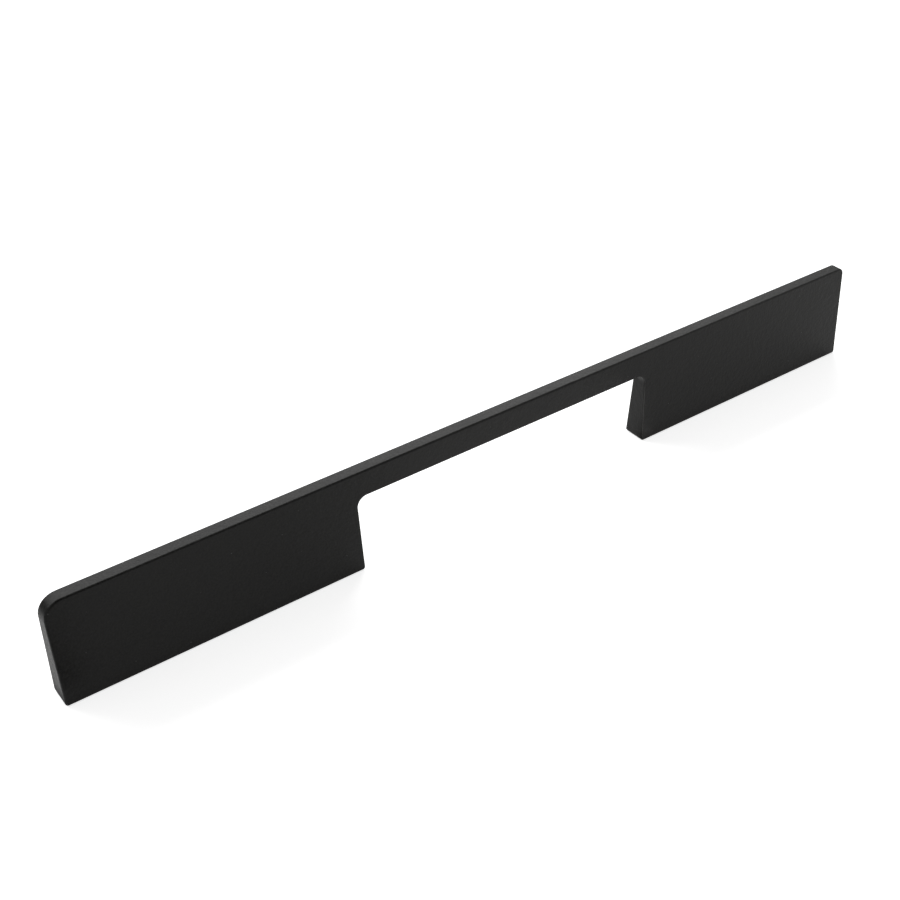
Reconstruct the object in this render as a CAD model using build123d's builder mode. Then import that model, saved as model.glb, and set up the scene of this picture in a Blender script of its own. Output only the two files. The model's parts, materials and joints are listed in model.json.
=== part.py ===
"""Cabinet handle: a one-piece wedge-section pull with two long legs and a thin grip bar between them.

Millimetres, +Z up from the mounting plane, +X along the handle. The origin is the middle of the
footprint. The section is thick at the feet and thin along the grip. Seen from the front, along +Y,
the left top corner is well rounded and the right one is almost square.
"""

import os
from math import radians, tan

from build123d import *

# Outline, seen from the front
length = 280.0
height = 31.8
leg_length = 88.0
leg_draft = 1.3
grip_height = 8.1
left_corner_radius = 5.4
right_corner_radius = 2.0
inner_corner_radius = 3.0
foot_corner_radius = 0.8

# Wedge section, seen from the end
foot_thickness = 7.9
top_thickness = 4.2
edge_radius = 0.6

# Tapped blind holes for the fixing screws, in the middle of each foot
thread_diameter = 4.0
thread_depth = 12.0
mouth_chamfer = 0.4
drill_point_angle = 118.0

# Worked out from the sizes above
gap_height = height - grip_height
gap_top = length / 2 - leg_length
gap_foot = gap_top - gap_height * tan(radians(leg_draft))
hole_spacing = length - leg_length
hole_radius = thread_diameter / 2
drill_point_height = hole_radius / tan(radians(drill_point_angle / 2))

with BuildPart() as handle:
    # Front outline: a long plate with the finger gap, a little narrower at the feet, taken out of it
    with BuildSketch(Plane.XZ) as outline:
        Rectangle(length, height, align=(Align.CENTER, Align.MIN))
        with BuildLine():
            Polyline(
                (-gap_foot, 0),
                (gap_foot, 0),
                (gap_top, gap_height),
                (-gap_top, gap_height),
                close=True,
            )
        make_face(mode=Mode.SUBTRACT)
        inner_corners = outline.vertices().group_by(Axis.Y)[1]
        fillet(inner_corners, inner_corner_radius)
        left_corner = outline.vertices().group_by(Axis.Y)[-1].sort_by(Axis.X)[0]
        fillet(left_corner, left_corner_radius)
        right_corner = outline.vertices().group_by(Axis.Y)[-1].sort_by(Axis.X)[-1]
        fillet(right_corner, right_corner_radius)
        foot_corners = outline.vertices().group_by(Axis.Y)[0]
        fillet(foot_corners, foot_corner_radius)
    extrude(amount=foot_thickness, both=True)

    # Wedge: both long faces lean in from the feet to the top
    with BuildSketch(Plane.YZ) as section:
        with BuildLine():
            Polyline(
                (-foot_thickness / 2, 0),
                (foot_thickness / 2, 0),
                (top_thickness / 2, height),
                (-top_thickness / 2, height),
                close=True,
            )
        make_face()
    extrude(amount=length, both=True, mode=Mode.INTERSECT)

    # Rounded edges, all round the two long faces
    long_faces = handle.faces().sort_by(Axis.Y)
    fillet((long_faces[:1] + long_faces[-1:]).edges(), edge_radius)

    # Tapped holes, drilled up from the feet, with a chamfered mouth and a drill point
    with Locations(Plane.XY.rotated((180, 0, 0))):
        with GridLocations(hole_spacing, 0, 2, 1):
            CounterSinkHole(
                radius=hole_radius,
                counter_sink_radius=hole_radius + mouth_chamfer,
                counter_sink_angle=90,
                depth=thread_depth,
            )
            with Locations((0, 0, -thread_depth)):
                Cone(
                    bottom_radius=0,
                    top_radius=hole_radius,
                    height=drill_point_height,
                    align=(Align.CENTER, Align.CENTER, Align.MAX),
                    mode=Mode.SUBTRACT,
                )

handle.part.label = "handle"

os.makedirs("parts", exist_ok=True)
export_step(handle.part, "parts/handle.step")
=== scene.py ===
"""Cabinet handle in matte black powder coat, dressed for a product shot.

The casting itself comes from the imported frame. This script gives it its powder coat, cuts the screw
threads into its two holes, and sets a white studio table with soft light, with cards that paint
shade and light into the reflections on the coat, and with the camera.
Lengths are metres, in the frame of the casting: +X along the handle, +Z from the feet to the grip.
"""

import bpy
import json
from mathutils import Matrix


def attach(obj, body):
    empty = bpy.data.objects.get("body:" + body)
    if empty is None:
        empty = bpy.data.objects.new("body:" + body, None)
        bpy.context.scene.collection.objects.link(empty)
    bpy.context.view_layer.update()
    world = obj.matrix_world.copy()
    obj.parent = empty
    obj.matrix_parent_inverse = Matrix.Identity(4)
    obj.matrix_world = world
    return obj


bl_info = {
    "name": "Cabinet Handle",
    "version": (1, 0, 0),
    "blender": (4, 5, 0),
    "location": "3D View > Sidebar > Handle",
    "description": "Coats a cast cabinet handle, threads its holes and sets a white studio table",
    "category": "Object",
}

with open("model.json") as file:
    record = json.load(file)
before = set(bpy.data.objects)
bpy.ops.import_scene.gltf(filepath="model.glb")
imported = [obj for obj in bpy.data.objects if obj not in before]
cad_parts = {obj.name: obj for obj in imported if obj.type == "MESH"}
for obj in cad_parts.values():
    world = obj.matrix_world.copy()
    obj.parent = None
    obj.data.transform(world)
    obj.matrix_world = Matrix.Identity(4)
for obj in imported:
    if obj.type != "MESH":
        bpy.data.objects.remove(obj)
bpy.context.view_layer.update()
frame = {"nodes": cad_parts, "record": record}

import json
from math import radians, tau

import bmesh
import bpy
from bpy.props import FloatProperty, FloatVectorProperty, IntProperty, PointerProperty
from mathutils import Matrix, Vector

BODY = "root"
CASTING = frame["nodes"]["handle"]
SCREW_HOLES = [m for m in frame["record"]["mounts"] if m["kind"] == "threaded_hole"]
HOLE_RADIUS = SCREW_HOLES[0]["dims"]["r_mm"] / 1000
HOLE_DEPTH = SCREW_HOLES[0]["dims"]["length_mm"] / 1000
HOLE_OFFSET = abs(SCREW_HOLES[0]["pos_m"][0])

# Radius of a pale speck in the coat, and of its solid core
SPECK_RADIUS = 0.0002
SPECK_CORE = 0.00008

# Height of the orange peel, in heights of the grain
PEEL_HEIGHT = 1.5

# Bare metal reaches this far from a hole's axis, past its mouth, and this far up, past its point
BARE_RADIUS = HOLE_RADIUS * 1.22
BARE_REACH = HOLE_DEPTH * 1.2

# Tone of the dull marks in the bare metal, as a share of its colour, and how strongly they show
DULL_SHARE = 0.8
MARK_STRENGTH = 0.4

# Section of a thread: its foot lies just inside the wall, and its widths are shares of the pitch
THREAD_FOOT = HOLE_RADIUS * 1.01
ROOT_SHARE = 7 / 8
CREST_SHARE = 1 / 4

# A Mix node has its own two inputs and output for each kind of value
MIX_SOCKETS = {"FLOAT": (2, 3, 0), "RGBA": (6, 7, 2)}

# Place and size of each soft lamp. Both shine at the middle of the footprint.
LAMPS = {
    "back_lamp": ((0.05, 0.65, 0.58), (1.5, 0.5)),
    "front_lamp": ((0.9, -0.8, 0.3), (0.6, 0.4)),
}

# Width of the grain in the cards' felt, and tone of its pale grains, as a share of its colour
FELT_GRAIN = 0.002
FELT_PALE = 1.3

# Width of the camera's sensor in millimetres, and the nearest distance that it sees
SENSOR_WIDTH = 36.0
CLIP_START = 0.01

# Height above the mounting plane of the cards that lie on the table
CARD_HEIGHT = 0.0003


def on_table(*points):
    """Corners of a card that lies on the table."""
    return tuple((x, y, CARD_HEIGHT) for x, y in points)


# Corners of the dark cards, which paint shade into the coat's reflections. Only reflections see them.
PAINTED_SHADE_CARDS = {
    # Behind the left end: painted shade in the reflections, for the dark turn of the rounded corner
    "corner_card": (
        (-0.27, 0.0, 0.0),
        (-0.12, 0.22, 0.0),
        (-0.12, 0.22, 0.052),
        (-0.27, 0.0, 0.052),
    ),
    # Above and in front: painted shade in the reflections, for the dark line along the top front edge
    "front_card": (
        (-0.8, -1.1, 0.25),
        (0.5, -1.1, 0.25),
        (0.5, -0.2, 1.5),
        (-0.8, -0.2, 1.5),
    ),
    # Beside the left foot: a painted contact shadow in the reflections, for the darker bottom of the
    # left end
    "foot_card": on_table(
        (-0.1413, -0.004),
        (-0.1404, -0.004),
        (-0.1404, 0.012),
        (-0.1413, 0.012),
    ),
    # In front of the left foot: painted shade in the reflections, for the darker left side of the
    # left leg
    "left_card": on_table(
        (-0.178, -0.05),
        (-0.132, -0.05),
        (-0.132, -0.012),
        (-0.178, -0.012),
    ),
    # Along the front of the feet: a painted contact shadow in the reflections, for the darker foot of
    # each leg
    "left_line_card": on_table(
        (-0.14, -0.00535),
        (-0.053, -0.00535),
        (-0.053, -0.005),
        (-0.14, -0.005),
    ),
    "right_line_card": on_table(
        (0.053, -0.0055),
        (0.138, -0.0055),
        (0.138, -0.005),
        (0.053, -0.005),
    ),
    # In the finger gap: a painted contact shadow in the reflections, for the darker front half of the
    # right leg's inner face
    "inner_dark_card": on_table(
        (0.03, 0.0157),
        (0.0512, -0.0055),
        (0.0512, -0.002),
        (0.03, 0.0192),
    ),
}

# Corners of the bright cards, which only reflections see: glowing sheets that paint light into the
# coat's reflections. The stage's settings hold their glow.
PAINTED_LIGHT_CARDS = {
    # In front of the finger gap: a painted pool of light on the table, reflected in the lighter grip
    # bar
    "gap": on_table(
        (-0.022, -0.06),
        (0.058, -0.06),
        (0.058, -0.006),
        (-0.022, -0.006),
    ),
    # Upright beside the right leg: a painted highlight, the lighter line on its inner front edge
    "edge": (
        (0.04966, -0.00752, 0.0002),
        (0.04768, -0.00554, 0.0002),
        (0.04818, -0.00454, 0.0185),
        (0.05016, -0.00652, 0.0185),
    ),
    # Behind the finger gap: a painted reflection of light, for the lighter back half of the right
    # leg's inner face
    "inner": on_table(
        (0.028, 0.0272),
        (0.05, 0.0052),
        (0.05, 0.0172),
        (0.028, 0.0392),
    ),
}


class CoatSettings(bpy.types.PropertyGroup):
    """Sizes and colours of the powder coat"""

    colour: FloatVectorProperty(
        name="Coat Colour",
        description="Colour of the powder coat",
        subtype="COLOR",
        size=3,
        min=0.0,
        max=1.0,
        default=(0.0026, 0.0025, 0.002),
    )
    cloud_colour: FloatVectorProperty(
        name="Cloud Colour",
        description="Lighter tone of the coat, mixed in by its grain and in soft clouds",
        subtype="COLOR",
        size=3,
        min=0.0,
        max=1.0,
        default=(0.009, 0.0089, 0.0084),
    )
    speck_colour: FloatVectorProperty(
        name="Speck Colour",
        description="Colour of the rare pale grains in the powder",
        subtype="COLOR",
        size=3,
        min=0.0,
        max=1.0,
        default=(0.08, 0.08, 0.08),
    )
    roughness: FloatProperty(
        name="Roughness",
        description="Mean roughness of the coat",
        subtype="FACTOR",
        min=0.0,
        max=1.0,
        default=0.46,
    )
    roughness_spread: FloatProperty(
        name="Roughness Spread",
        description="How far the roughness strays from its mean",
        min=0.0,
        max=0.5,
        default=0.07,
    )
    specular: FloatProperty(
        name="Specular Level",
        description="Strength of the coat's mirror reflection, where 0.5 is clear plastic",
        subtype="FACTOR",
        min=0.0,
        max=1.0,
        default=0.125,
    )
    grain_size: FloatProperty(
        name="Grain Size",
        description="Width of one grain of the powder",
        subtype="DISTANCE",
        unit="LENGTH",
        default=0.0006,
    )
    peel_size: FloatProperty(
        name="Orange Peel Size",
        description="Width of one wave of the orange peel left by the melting powder",
        subtype="DISTANCE",
        unit="LENGTH",
        default=0.0016,
    )
    cloud_size: FloatProperty(
        name="Cloud Size",
        description="Width of one soft cloud of tone",
        subtype="DISTANCE",
        unit="LENGTH",
        default=0.018,
    )
    cloud_share: FloatProperty(
        name="Cloud Share",
        description="Share of the clouds in the mottled tone, where the rest is grain",
        subtype="FACTOR",
        min=0.0,
        max=1.0,
        default=0.25,
    )
    relief: FloatProperty(
        name="Relief",
        description="Height of the grain",
        subtype="DISTANCE",
        unit="LENGTH",
        default=0.000015,
    )
    speck_spacing: FloatProperty(
        name="Speck Spacing",
        description="Distance between the places where a pale grain may lie",
        subtype="DISTANCE",
        unit="LENGTH",
        default=0.003,
    )


class ThreadSettings(bpy.types.PropertyGroup):
    """Sizes and colour of the screw threads"""

    colour: FloatVectorProperty(
        name="Bare Zinc",
        description="Colour of the bare metal in the screw holes",
        subtype="COLOR",
        size=3,
        min=0.0,
        max=1.0,
        default=(0.52, 0.53, 0.55),
    )
    hole_roughness: FloatProperty(
        name="Hole Roughness",
        description="Roughness of the bare wall and mouth of a hole",
        subtype="FACTOR",
        min=0.0,
        max=1.0,
        default=0.38,
    )
    smoothest: FloatProperty(
        name="Smoothest",
        description="Roughness of the thread where it is bright",
        subtype="FACTOR",
        min=0.0,
        max=1.0,
        default=0.28,
    )
    roughest: FloatProperty(
        name="Roughest",
        description="Roughness of the thread where it is dull",
        subtype="FACTOR",
        min=0.0,
        max=1.0,
        default=0.45,
    )
    mark_size: FloatProperty(
        name="Mark Size",
        description="Width of one mark left by the tap",
        subtype="DISTANCE",
        unit="LENGTH",
        default=0.00012,
    )
    mark_depth: FloatProperty(
        name="Mark Depth",
        description="Depth of the marks left by the tap",
        subtype="DISTANCE",
        unit="LENGTH",
        default=0.00001,
    )
    pitch: FloatProperty(
        name="Pitch",
        description="Rise of the thread in one turn",
        subtype="DISTANCE",
        unit="LENGTH",
        default=0.0007,
    )
    depth: FloatProperty(
        name="Thread Height",
        description="How far the thread stands in from the wall of the hole",
        subtype="DISTANCE",
        unit="LENGTH",
        default=0.00038,
    )
    start: FloatProperty(
        name="Start",
        description="Height of the first turn above the mounting plane",
        subtype="DISTANCE",
        unit="LENGTH",
        default=0.0006,
    )
    turns: FloatProperty(
        name="Turns",
        description="Number of turns that the tap has cut",
        min=1.0,
        default=14.0,
    )
    steps: IntProperty(
        name="Steps",
        description="Straight stretches in one turn",
        min=8,
        default=40,
    )


class StageSettings(bpy.types.PropertyGroup):
    """Table, lamps, cards and camera"""

    table_size: FloatProperty(
        name="Table Size",
        description="Side of the white table",
        subtype="DISTANCE",
        unit="LENGTH",
        default=12.0,
    )
    table_gap: FloatProperty(
        name="Table Gap",
        description="Distance between the feet and the table",
        subtype="DISTANCE",
        unit="LENGTH",
        default=0.0001,
    )
    table_colour: FloatVectorProperty(
        name="Table Colour",
        description="Colour of the table top",
        subtype="COLOR",
        size=3,
        min=0.0,
        max=1.0,
        default=(0.8, 0.8, 0.8),
    )
    table_glow: FloatProperty(
        name="Table Glow",
        description="Light added to the table as the eye and reflections see it, to make it white",
        min=0.0,
        max=1.0,
        default=0.68,
    )
    ambient: FloatProperty(
        name="Ambient Light",
        description="Strength of the even light from all round",
        min=0.0,
        default=0.4,
    )
    back_lamp_power: FloatProperty(
        name="Back Lamp Power",
        description="Power of the soft lamp above and behind the handle",
        unit="POWER",
        min=0.0,
        default=10.6,
    )
    front_lamp_power: FloatProperty(
        name="Front Lamp Power",
        description="Power of the weak lamp in front, low on the right",
        unit="POWER",
        min=0.0,
        default=2.3,
    )
    # Glow of the bright cards: painted light that only reflections see
    gap_glow: FloatProperty(
        name="Gap Glow",
        description="Brightness, in reflections, of the card in front of the finger gap",
        min=0.0,
        default=1.7,
    )
    edge_glow: FloatProperty(
        name="Edge Glow",
        description="Brightness, in reflections, of the card beside the right leg's inner edge",
        min=0.0,
        default=6.5,
    )
    inner_glow: FloatProperty(
        name="Inner Glow",
        description="Brightness, in reflections, of the card behind the finger gap",
        min=0.0,
        default=2.0,
    )
    # Colour of the cards: where dark, painted shade that only reflections see
    card_colour: FloatVectorProperty(
        name="Card Colour",
        description="Colour of the felt of the cards",
        subtype="COLOR",
        size=3,
        min=0.0,
        max=1.0,
        default=(0.05, 0.05, 0.05),
    )
    camera_place: FloatVectorProperty(
        name="Camera Place",
        description="Where the camera stands",
        subtype="TRANSLATION",
        unit="LENGTH",
        size=3,
        default=(-0.202586, -0.257381, 0.250133),
    )
    camera_heading: FloatProperty(
        name="Camera Heading",
        description="How far the camera is turned from +Y towards +X",
        subtype="ANGLE",
        unit="ROTATION",
        default=radians(35.4232),
    )
    camera_dip: FloatProperty(
        name="Camera Dip",
        description="How far the camera looks down",
        subtype="ANGLE",
        unit="ROTATION",
        default=radians(35.5108),
    )
    camera_roll: FloatProperty(
        name="Camera Roll",
        description="How far the camera is tilted about its own line of sight",
        subtype="ANGLE",
        unit="ROTATION",
        default=radians(-0.8),
    )
    camera_lens: FloatProperty(
        name="Camera Lens",
        description="Focal length of the camera, in millimetres",
        unit="CAMERA",
        min=1.0,
        default=55.3388,
    )


def make_group(name, inputs, outputs):
    """An empty shader node group. An input without a default is a vector, the rest are numbers."""
    group = bpy.data.node_groups.new(name, "ShaderNodeTree")
    for label, default in inputs.items():
        kind = "NodeSocketVector" if default is None else "NodeSocketFloat"
        socket = group.interface.new_socket(label, in_out="INPUT", socket_type=kind)
        if default is not None:
            socket.default_value = default
    for label in outputs:
        group.interface.new_socket(label, in_out="OUTPUT", socket_type="NodeSocketFloat")
    return group, group.nodes.new("NodeGroupInput"), group.nodes.new("NodeGroupOutput")


def feed(tree, socket, value):
    """Links a socket into an input, or sets the input to a plain number or colour."""
    if isinstance(value, bpy.types.NodeSocket):
        tree.links.new(value, socket)
    else:
        socket.default_value = value


def math_node(tree, operation, *values):
    """A Math node whose inputs are sockets or plain numbers. Returns its output."""
    node = tree.nodes.new("ShaderNodeMath")
    node.operation = operation
    for socket, value in zip(node.inputs, values):
        feed(tree, socket, value)
    return node.outputs["Value"]


def map_range(tree, value, from_min, from_max, to_min=0.0, to_max=1.0, smooth=False):
    """A Map Range node whose limits are sockets or plain numbers. Returns its output."""
    node = tree.nodes.new("ShaderNodeMapRange")
    if smooth:
        node.interpolation_type = "SMOOTHSTEP"
    feed(tree, node.inputs["Value"], value)
    feed(tree, node.inputs["From Min"], from_min)
    feed(tree, node.inputs["From Max"], from_max)
    feed(tree, node.inputs["To Min"], to_min)
    feed(tree, node.inputs["To Max"], to_max)
    return node.outputs["Result"]


def mix(tree, kind, factor, a, b):
    """A Mix node for numbers, FLOAT, or colours, RGBA, as sockets or plain. Returns its output."""
    node = tree.nodes.new("ShaderNodeMix")
    node.data_type = kind
    feed(tree, node.inputs["Factor"], factor)
    first, second, result = MIX_SOCKETS[kind]
    feed(tree, node.inputs[first], a)
    feed(tree, node.inputs[second], b)
    return node.outputs[result]


def opaque(colour):
    """A plain colour with its alpha."""
    return (*colour, 1.0)


def grain_group():
    """Even noise from 0 to 1, whose waves have a given width: grain, orange peel and clouds."""
    name = "Grain"
    if name in bpy.data.node_groups:
        return bpy.data.node_groups[name]
    inputs = {"Place": None, "Width": 0.001, "Detail": 2.0, "Low": 0.3, "High": 0.7}
    group, given, out = make_group(name, inputs, ["Grain"])
    noise = group.nodes.new("ShaderNodeTexNoise")
    group.links.new(given.outputs["Place"], noise.inputs["Vector"])
    scale = math_node(group, "DIVIDE", 1.0, given.outputs["Width"])
    group.links.new(scale, noise.inputs["Scale"])
    group.links.new(given.outputs["Detail"], noise.inputs["Detail"])
    spread = map_range(
        group,
        noise.outputs["Fac"],
        given.outputs["Low"],
        given.outputs["High"],
        smooth=True,
    )
    group.links.new(spread, out.inputs["Grain"])
    return group


def screw_hole_group():
    """A mask that is 1 on the bare metal inside the two screw holes and 0 on the coat."""
    name = "Screw Holes"
    if name in bpy.data.node_groups:
        return bpy.data.node_groups[name]
    inputs = {"Place": None, "Offset": HOLE_OFFSET, "Radius": HOLE_RADIUS, "Reach": HOLE_DEPTH}
    group, given, out = make_group(name, inputs, ["Bare"])
    split = group.nodes.new("ShaderNodeSeparateXYZ")
    group.links.new(given.outputs["Place"], split.inputs["Vector"])
    outward = math_node(group, "ABSOLUTE", split.outputs["X"])
    along = math_node(group, "SUBTRACT", outward, given.outputs["Offset"])
    across = split.outputs["Y"]
    square = math_node(
        group,
        "ADD",
        math_node(group, "MULTIPLY", along, along),
        math_node(group, "MULTIPLY", across, across),
    )
    away = math_node(group, "SQRT", square)
    inside = math_node(group, "LESS_THAN", away, given.outputs["Radius"])
    below = math_node(group, "LESS_THAN", split.outputs["Z"], given.outputs["Reach"])
    group.links.new(math_node(group, "MULTIPLY", inside, below), out.inputs["Bare"])
    return group


def place_group(tree, group, place, **values):
    """Places a node group in a material, on the given coordinates and with the given values."""
    node = tree.nodes.new("ShaderNodeGroup")
    node.node_tree = group
    tree.links.new(place, node.inputs["Place"])
    for label, value in values.items():
        node.inputs[label.title()].default_value = value
    return node.outputs[0]


def new_material(name):
    """A material. Returns it with its tree, its shader and the casting's coordinates."""
    material = bpy.data.materials.new(name)
    material.use_nodes = True
    tree = material.node_tree
    shader = tree.nodes["Principled BSDF"]
    place = tree.nodes.new("ShaderNodeTexCoord").outputs["Object"]
    return material, tree, shader, place


def speck_mask(tree, place, spacing):
    """Round specks, one to a cell and most of them faint, from 0 to 1."""
    cells = tree.nodes.new("ShaderNodeTexVoronoi")
    cells.inputs["Scale"].default_value = 1.0 / spacing
    tree.links.new(place, cells.inputs["Vector"])
    edge, core = SPECK_RADIUS / spacing, SPECK_CORE / spacing
    near = map_range(tree, cells.outputs["Distance"], edge, core)
    split = tree.nodes.new("ShaderNodeSeparateColor")
    tree.links.new(cells.outputs["Color"], split.inputs["Color"])
    chance = split.outputs["Red"]
    strength = math_node(tree, "MULTIPLY", chance, chance)
    return math_node(tree, "MULTIPLY", near, strength)


def powder_coat_material(coat, thread):
    """Matte black powder coat: fine grain, faint orange peel, pale specks, and bare holes."""
    material, tree, shader, place = new_material("black_powder_coat")
    grain = place_group(tree, grain_group(), place, width=coat.grain_size, detail=3.0)
    peel = place_group(tree, grain_group(), place, width=coat.peel_size, detail=1.0)
    clouds = place_group(tree, grain_group(), place, width=coat.cloud_size, detail=3.0)
    bare = place_group(tree, screw_hole_group(), place, radius=BARE_RADIUS, reach=BARE_REACH)

    fine = math_node(tree, "MULTIPLY", grain, 1.0 - coat.cloud_share)
    broad = math_node(tree, "MULTIPLY", clouds, coat.cloud_share)
    mottle = math_node(tree, "ADD", fine, broad)
    tone = mix(tree, "RGBA", mottle, opaque(coat.colour), opaque(coat.cloud_colour))
    specks = speck_mask(tree, place, coat.speck_spacing)
    tone = mix(tree, "RGBA", specks, tone, opaque(coat.speck_colour))
    tone = mix(tree, "RGBA", bare, tone, opaque(thread.colour))
    tree.links.new(tone, shader.inputs["Base Color"])

    smooth = coat.roughness - coat.roughness_spread
    rough = coat.roughness + coat.roughness_spread
    gloss = map_range(tree, mottle, 0.0, 1.0, smooth, rough)
    gloss = mix(tree, "FLOAT", bare, gloss, thread.hole_roughness)
    tree.links.new(gloss, shader.inputs["Roughness"])
    tree.links.new(bare, shader.inputs["Metallic"])
    shader.inputs["Specular IOR Level"].default_value = coat.specular

    bump = tree.nodes.new("ShaderNodeBump")
    bump.inputs["Strength"].default_value = 1.0
    bump.inputs["Distance"].default_value = coat.relief
    height = math_node(tree, "ADD", grain, math_node(tree, "MULTIPLY", peel, PEEL_HEIGHT))
    tree.links.new(height, bump.inputs["Height"])
    tree.links.new(bump.outputs["Normal"], shader.inputs["Normal"])
    return material


def bare_zinc_material(thread):
    """Freshly tapped zinc: bright metal with the fine dull marks of the tap."""
    material, tree, shader, place = new_material("tapped_zinc")
    marks = place_group(tree, grain_group(), place, width=thread.mark_size, detail=2.0)
    dull = [c * DULL_SHARE for c in thread.colour]
    tone = mix(tree, "RGBA", marks, opaque(thread.colour), opaque(dull))
    tree.links.new(tone, shader.inputs["Base Color"])
    gloss = map_range(tree, marks, 0.0, 1.0, thread.smoothest, thread.roughest)
    tree.links.new(gloss, shader.inputs["Roughness"])
    shader.inputs["Metallic"].default_value = 1.0
    bump = tree.nodes.new("ShaderNodeBump")
    bump.inputs["Strength"].default_value = MARK_STRENGTH
    bump.inputs["Distance"].default_value = thread.mark_depth
    tree.links.new(marks, bump.inputs["Height"])
    tree.links.new(bump.outputs["Normal"], shader.inputs["Normal"])
    return material


def thread_mesh(name, axis_x, thread):
    """The helical ridge of one tapped hole: a trapezium spun up the wall, run out at both ends."""
    crest_radius = HOLE_RADIUS - thread.depth
    half_root = thread.pitch * ROOT_SHARE / 2
    half_crest = thread.pitch * CREST_SHARE / 2
    outline = [
        (THREAD_FOOT, -half_root),
        (crest_radius, -half_crest),
        (crest_radius, half_crest),
        (THREAD_FOOT, half_root),
    ]
    bm = bmesh.new()
    corners = [bm.verts.new((axis_x + r, 0.0, thread.start + z)) for r, z in outline]
    bm.faces.new(corners)
    steps = round(thread.turns * thread.steps)
    bmesh.ops.spin(
        bm,
        geom=bm.verts[:] + bm.edges[:] + bm.faces[:],
        cent=(axis_x, 0.0, 0.0),
        axis=(0.0, 0.0, 1.0),
        dvec=(0.0, 0.0, thread.pitch / thread.steps),
        angle=tau * thread.turns,
        steps=steps,
        use_merge=False,
    )
    run_out = thread.pitch / 2
    end = thread.start + thread.pitch * thread.turns
    for vert in bm.verts:
        across = Vector((vert.co.x - axis_x, vert.co.y, 0.0))
        share = min((vert.co.z - thread.start) / run_out, (end - vert.co.z) / run_out, 1.0)
        if share < 1.0 and across.length < HOLE_RADIUS:
            wall = across.normalized() * HOLE_RADIUS
            across = wall.lerp(across, max(share, 0.0))
            vert.co.x, vert.co.y = axis_x + across.x, across.y
    bmesh.ops.recalc_face_normals(bm, faces=bm.faces[:])
    mesh = bpy.data.meshes.new(name)
    bm.to_mesh(mesh)
    bm.free()
    return mesh


def add_object(name, data):
    """Links a new object with this data into the scene."""
    thing = bpy.data.objects.new(name, data)
    bpy.context.scene.collection.objects.link(thing)
    return thing


def seen_by_eye(tree):
    """1 for rays from the camera, from gloss and through glass, which see the white background."""
    path = tree.nodes.new("ShaderNodeLightPath").outputs
    eye = math_node(tree, "MAXIMUM", path["Is Camera Ray"], path["Is Glossy Ray"])
    return math_node(tree, "MAXIMUM", eye, path["Is Transmission Ray"])


def mix_shader(tree, factor, a, b):
    """Mixes two shader outputs. Returns the mix."""
    node = tree.nodes.new("ShaderNodeMixShader")
    for socket, value in zip(node.inputs, (factor, a, b)):
        tree.links.new(value, socket)
    return node.outputs[0]


def table_material(stage):
    """White table: it glows to the eye, so that it is white, and it keeps the handle's shadow."""
    material = bpy.data.materials.new("white_table")
    material.use_nodes = True
    tree = material.node_tree
    tree.nodes.clear()
    paper = tree.nodes.new("ShaderNodeBsdfDiffuse")
    paper.inputs["Color"].default_value = opaque(stage.table_colour)
    glow = tree.nodes.new("ShaderNodeEmission")
    glow.inputs["Strength"].default_value = stage.table_glow
    both = tree.nodes.new("ShaderNodeAddShader")
    tree.links.new(paper.outputs[0], both.inputs[0])
    tree.links.new(glow.outputs[0], both.inputs[1])
    top = mix_shader(tree, seen_by_eye(tree), paper.outputs[0], both.outputs[0])
    clear = tree.nodes.new("ShaderNodeBsdfTransparent")
    side = tree.nodes.new("ShaderNodeNewGeometry").outputs["Backfacing"]
    out = tree.nodes.new("ShaderNodeOutputMaterial")
    tree.links.new(mix_shader(tree, side, top, clear.outputs[0]), out.inputs["Surface"])
    material.cycles.emission_sampling = "NONE"
    return material


def make_table(stage):
    """The white table under the feet."""
    bm = bmesh.new()
    bmesh.ops.create_grid(bm, x_segments=1, y_segments=1, size=stage.table_size / 2)
    bmesh.ops.translate(bm, verts=bm.verts[:], vec=(0.0, 0.0, -stage.table_gap))
    mesh = bpy.data.meshes.new("table")
    bm.to_mesh(mesh)
    bm.free()
    mesh.materials.append(table_material(stage))
    add_object("table", mesh)


def make_world(stage):
    """Even light from all round, which the eye and reflections see as white."""
    world = bpy.data.worlds.new("studio")
    bpy.context.scene.world = world
    world.use_nodes = True
    tree = world.node_tree
    tree.nodes.clear()
    fill = tree.nodes.new("ShaderNodeBackground")
    fill.inputs["Strength"].default_value = stage.ambient
    white = tree.nodes.new("ShaderNodeBackground")
    out = tree.nodes.new("ShaderNodeOutputWorld")
    for background in (fill, white):
        background.inputs["Color"].default_value = (1.0, 1.0, 1.0, 1.0)
    mixed = mix_shader(tree, seen_by_eye(tree), fill.outputs[0], white.outputs[0])
    tree.links.new(mixed, out.inputs["Surface"])
    world.cycles.sampling_method = "NONE"


def make_lamp(name, place, size, power):
    """A soft rectangular lamp that shines at the handle, unseen by the camera."""
    lamp = bpy.data.lights.new(name, "AREA")
    lamp.shape = "RECTANGLE"
    lamp.size, lamp.size_y = size
    lamp.energy = power
    thing = add_object(name, lamp)
    thing.location = place
    thing.rotation_euler = (-Vector(place)).to_track_quat("-Z", "Y").to_euler()
    thing.visible_camera = False


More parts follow.
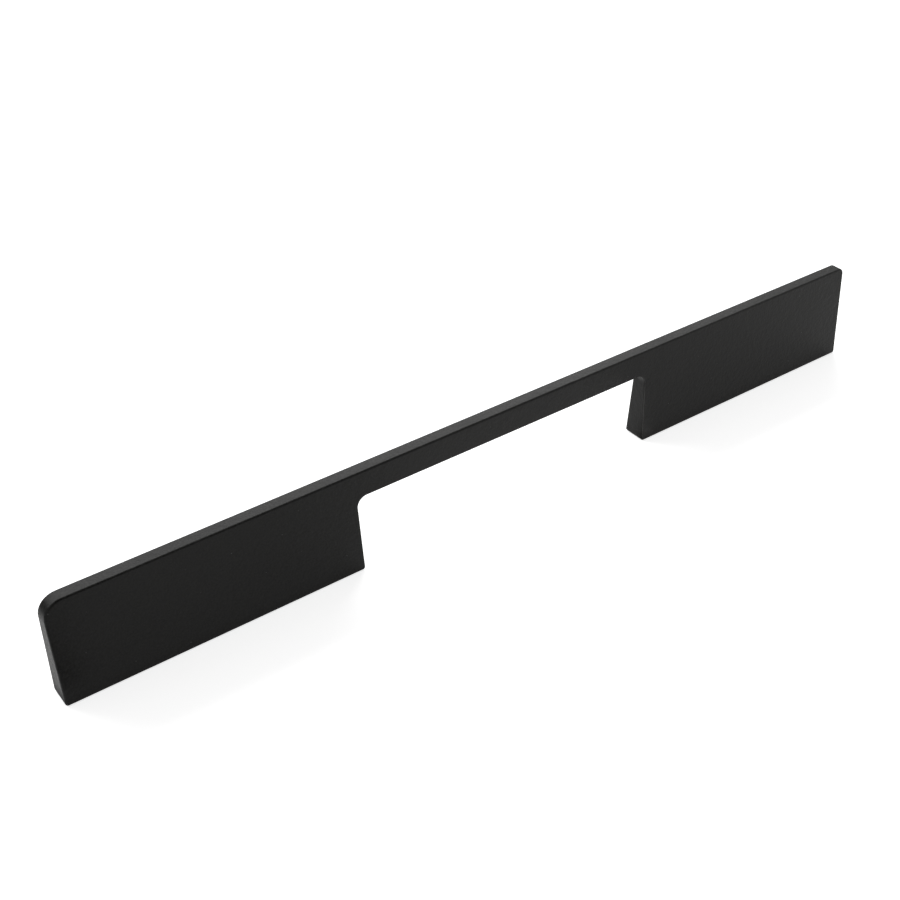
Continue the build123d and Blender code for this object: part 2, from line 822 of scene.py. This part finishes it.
def make_card(name, corners, stage, glow=0.0):
    """A felt card that only reflections see: dark, it paints shade into them, and where it glows,
    painted light.
    """
    bm = bmesh.new()
    bm.faces.new([bm.verts.new(corner) for corner in corners])
    mesh = bpy.data.meshes.new(name)
    bm.to_mesh(mesh)
    bm.free()
    material, tree, shader, place = new_material(name)
    felt = place_group(tree, grain_group(), place, width=FELT_GRAIN)
    pale = [c * FELT_PALE for c in stage.card_colour]
    tone = mix(tree, "RGBA", felt, opaque(stage.card_colour), opaque(pale))
    tree.links.new(tone, shader.inputs["Base Color"])
    shader.inputs["Roughness"].default_value = 1.0
    shader.inputs["Specular IOR Level"].default_value = 0.0
    shader.inputs["Emission Color"].default_value = (1.0, 1.0, 1.0, 1.0)
    shader.inputs["Emission Strength"].default_value = glow
    material.cycles.emission_sampling = "NONE"
    mesh.materials.append(material)
    card = add_object(name, mesh)
    card.visible_camera = False
    card.visible_diffuse = False
    card.visible_shadow = False


def make_camera(stage):
    """The camera of the product shot, for a square picture."""
    camera = bpy.data.cameras.new("camera")
    camera.sensor_width = SENSOR_WIDTH
    camera.lens = stage.camera_lens
    camera.clip_start = CLIP_START
    thing = add_object("camera", camera)
    turn = Matrix.Rotation(-stage.camera_heading, 4, "Z")
    dip = Matrix.Rotation(radians(90.0) - stage.camera_dip, 4, "X")
    roll = Matrix.Rotation(stage.camera_roll, 4, "Z")
    thing.matrix_world = Matrix.Translation(stage.camera_place) @ turn @ dip @ roll
    bpy.context.scene.camera = thing


class HANDLE_OT_coat_casting(bpy.types.Operator):
    """Gives the casting its black powder coat"""

    bl_idname = "handle.coat_casting"
    bl_label = "Coat Casting"

    def execute(self, context):
        coat = powder_coat_material(context.scene.handle_coat, context.scene.handle_thread)
        CASTING.data.materials.clear()
        CASTING.data.materials.append(coat)
        return {"FINISHED"}


class HANDLE_OT_cut_threads(bpy.types.Operator):
    """Cuts the screw thread in each hole"""

    bl_idname = "handle.cut_threads"
    bl_label = "Cut Threads"

    def execute(self, context):
        thread = context.scene.handle_thread
        zinc = bare_zinc_material(thread)
        for hole in SCREW_HOLES:
            name = hole["name"].replace("screw_hole", "thread")
            mesh = thread_mesh(name, hole["pos_m"][0], thread)
            mesh.materials.append(zinc)
            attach(add_object(name, mesh), BODY)
        return {"FINISHED"}


class HANDLE_OT_set_stage(bpy.types.Operator):
    """Sets the white table, the world, the lamps, the cards that paint shade and light into
    reflections, and the camera
    """

    bl_idname = "handle.set_stage"
    bl_label = "Set Stage"

    def execute(self, context):
        stage = context.scene.handle_stage
        make_table(stage)
        make_world(stage)
        for name, (place, size) in LAMPS.items():
            make_lamp(name, place, size, getattr(stage, f"{name}_power"))
        # Dark cards paint shade into the reflections, bright cards paint light into them
        for name, corners in PAINTED_SHADE_CARDS.items():
            make_card(name, corners, stage)
        for name, corners in PAINTED_LIGHT_CARDS.items():
            make_card(f"{name}_card", corners, stage, getattr(stage, f"{name}_glow"))
        make_camera(stage)
        context.scene.view_settings.view_transform = "Standard"
        return {"FINISHED"}


class VIEW3D_PT_handle(bpy.types.Panel):
    """Lists the settings and the steps"""

    bl_label = "Cabinet Handle"
    bl_space_type = "VIEW_3D"
    bl_region_type = "UI"
    bl_category = "Handle"

    def draw(self, context):
        scene = context.scene
        steps = {
            HANDLE_OT_coat_casting: scene.handle_coat,
            HANDLE_OT_cut_threads: scene.handle_thread,
            HANDLE_OT_set_stage: scene.handle_stage,
        }
        for step, settings in steps.items():
            box = self.layout.box()
            for label in settings.bl_rna.properties.keys():
                if label not in ("rna_type", "name"):
                    box.prop(settings, label)
            box.operator(step.bl_idname)


CLASSES = (
    CoatSettings,
    ThreadSettings,
    StageSettings,
    HANDLE_OT_coat_casting,
    HANDLE_OT_cut_threads,
    HANDLE_OT_set_stage,
    VIEW3D_PT_handle,
)


def register():
    """Adds the classes, and the settings to the scene."""
    for each in CLASSES:
        bpy.utils.register_class(each)
    bpy.types.Scene.handle_coat = PointerProperty(type=CoatSettings)
    bpy.types.Scene.handle_thread = PointerProperty(type=ThreadSettings)
    bpy.types.Scene.handle_stage = PointerProperty(type=StageSettings)


def unregister():
    """Takes the settings and the classes away again."""
    del bpy.types.Scene.handle_stage
    del bpy.types.Scene.handle_thread
    del bpy.types.Scene.handle_coat
    for each in reversed(CLASSES):
        bpy.utils.unregister_class(each)


def main():
    """Dresses the handle."""
    register()
    bpy.ops.handle.coat_casting()
    bpy.ops.handle.cut_threads()
    bpy.ops.handle.set_stage()


if __name__ == "__main__":
    main()
